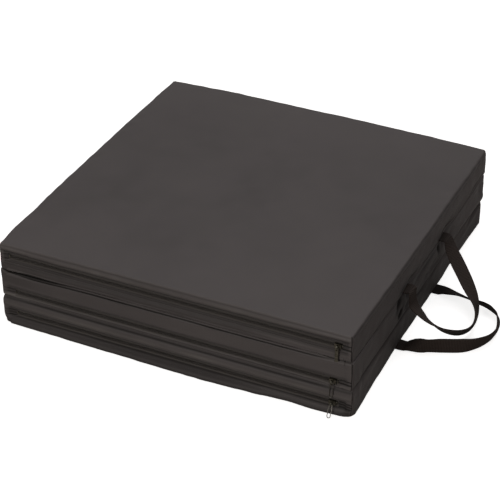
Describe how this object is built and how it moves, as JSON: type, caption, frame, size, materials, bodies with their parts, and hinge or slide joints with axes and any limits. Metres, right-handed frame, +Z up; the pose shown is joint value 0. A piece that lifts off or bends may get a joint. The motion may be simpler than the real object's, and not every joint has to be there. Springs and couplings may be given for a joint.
{
  "type": "folding gymnastics mat",
  "caption": "Tri-fold padded exercise mat, shown folded: zipped fabric covers over foam, webbing carry handles on one side.",
  "frame": {"origin": "middle of the flat underside of the folded stack, on the floor", "axes": "+Z up through the stacked panels, +X out of the side with the handles, -Y out of the side with the zips"},
  "size_m": [0.7345, 0.6133, 0.1523],
  "materials": {
    "foam": "matte",
    "cover": "matte",
    "fold_fabric": "matte",
    "webbing": "matte",
    "zip_tape": "matte",
    "zip_coil": "satin",
    "dark_metal": "satin",
    "bright_metal": "gloss"
  },
  "bodies": {
    "panel_bottom": {"foam_bottom": "foam", "cover_bottom": "cover", "zip_hem_upper_bottom": "cover", "zip_hem_lower_bottom": "cover", "zip_tape_bottom": "zip_tape", "zip_chain_bottom": "zip_coil", "zip_stop_left_bottom": "dark_metal", "zip_stop_right_bottom": "dark_metal", "hinge_strip_lower": "fold_fabric", "handle_tab_lower_near": "webbing", "handle_tab_lower_far": "webbing"},
    "panel_middle": {"foam_middle": "foam", "cover_middle": "cover", "zip_hem_upper_middle": "cover", "zip_hem_lower_middle": "cover", "zip_tape_middle": "zip_tape", "zip_chain_middle": "zip_coil", "zip_stop_left_middle": "dark_metal", "zip_stop_right_middle": "dark_metal", "hinge_strip_upper": "fold_fabric"},
    "panel_top": {"foam_top": "foam", "cover_top": "cover", "zip_hem_upper_top": "cover", "zip_hem_lower_top": "cover", "zip_tape_top": "zip_tape", "zip_chain_top": "zip_coil", "zip_stop_left_top": "dark_metal", "zip_stop_right_top": "dark_metal", "handle_tab_upper_near": "webbing", "handle_tab_upper_far": "webbing"},
    "loop_lower": {"handle_lower": "webbing"},
    "loop_upper": {"handle_upper": "webbing"},
    "zip_slider_bottom": {"slider_bottom": "bright_metal"},
    "zip_slider_middle": {"slider_middle": "bright_metal"},
    "zip_slider_top": {"slider_top": "dark_metal"},
    "zip_pull_bottom": {"pull_bottom": "bright_metal"},
    "zip_pull_middle": {"pull_middle": "bright_metal"},
    "zip_pull_top": {"pull_top": "dark_metal"}
  },
  "joints": [
    {"name": "fold_lower", "type": "hinge", "parent": "panel_bottom", "child": "panel_middle", "pos_m": [0, 0.3025, 0.05], "axis": [-1, 0, 0], "range_deg": [0, 180], "deforming": ["hinge_strip_lower"]},
    {"name": "fold_upper", "type": "hinge", "parent": "panel_middle", "child": "panel_top", "pos_m": [0, -0.3025, 0.1], "axis": [1, 0, 0], "range_deg": [0, 180], "deforming": ["hinge_strip_upper"]},
    {"name": "lower_handle_swing", "type": "hinge", "parent": "panel_bottom", "child": "loop_lower", "pos_m": [0.3034, 0, 0.0013], "axis": [0, -1, 0], "range_deg": [-90, 0]},
    {"name": "upper_handle_swing", "type": "hinge", "parent": "panel_top", "child": "loop_upper", "pos_m": [0.3034, 0, 0.1], "axis": [0, -1, 0], "range_deg": [0, 75]},
    {"name": "zip_slide_bottom", "type": "slide", "parent": "panel_bottom", "child": "zip_slider_bottom", "axis": [-1, 0, 0], "range_m": [0, 0.533]},
    {"name": "zip_slide_middle", "type": "slide", "parent": "panel_middle", "child": "zip_slider_middle", "axis": [-1, 0, 0], "range_m": [0, 0.513]},
    {"name": "zip_slide_top", "type": "slide", "parent": "panel_top", "child": "zip_slider_top", "axis": [-1, 0, 0], "range_m": [0, 0.545]},
    {"name": "pull_swing_bottom", "type": "hinge", "parent": "zip_slider_bottom", "child": "zip_pull_bottom", "pos_m": [0.267, -0.3019, 0.0195], "axis": [-1, 0, 0], "range_deg": [0, 145]},
    {"name": "pull_swing_middle", "type": "hinge", "parent": "zip_slider_middle", "child": "zip_pull_middle", "pos_m": [0.2665, -0.3019, 0.0595], "axis": [-1, 0, 0], "range_deg": [0, 170]},
    {"name": "pull_swing_top", "type": "hinge", "parent": "zip_slider_top", "child": "zip_pull_top", "pos_m": [0.2732, -0.3019, 0.1255], "axis": [-1, 0, 0], "range_deg": [0, 170]}
  ]
}
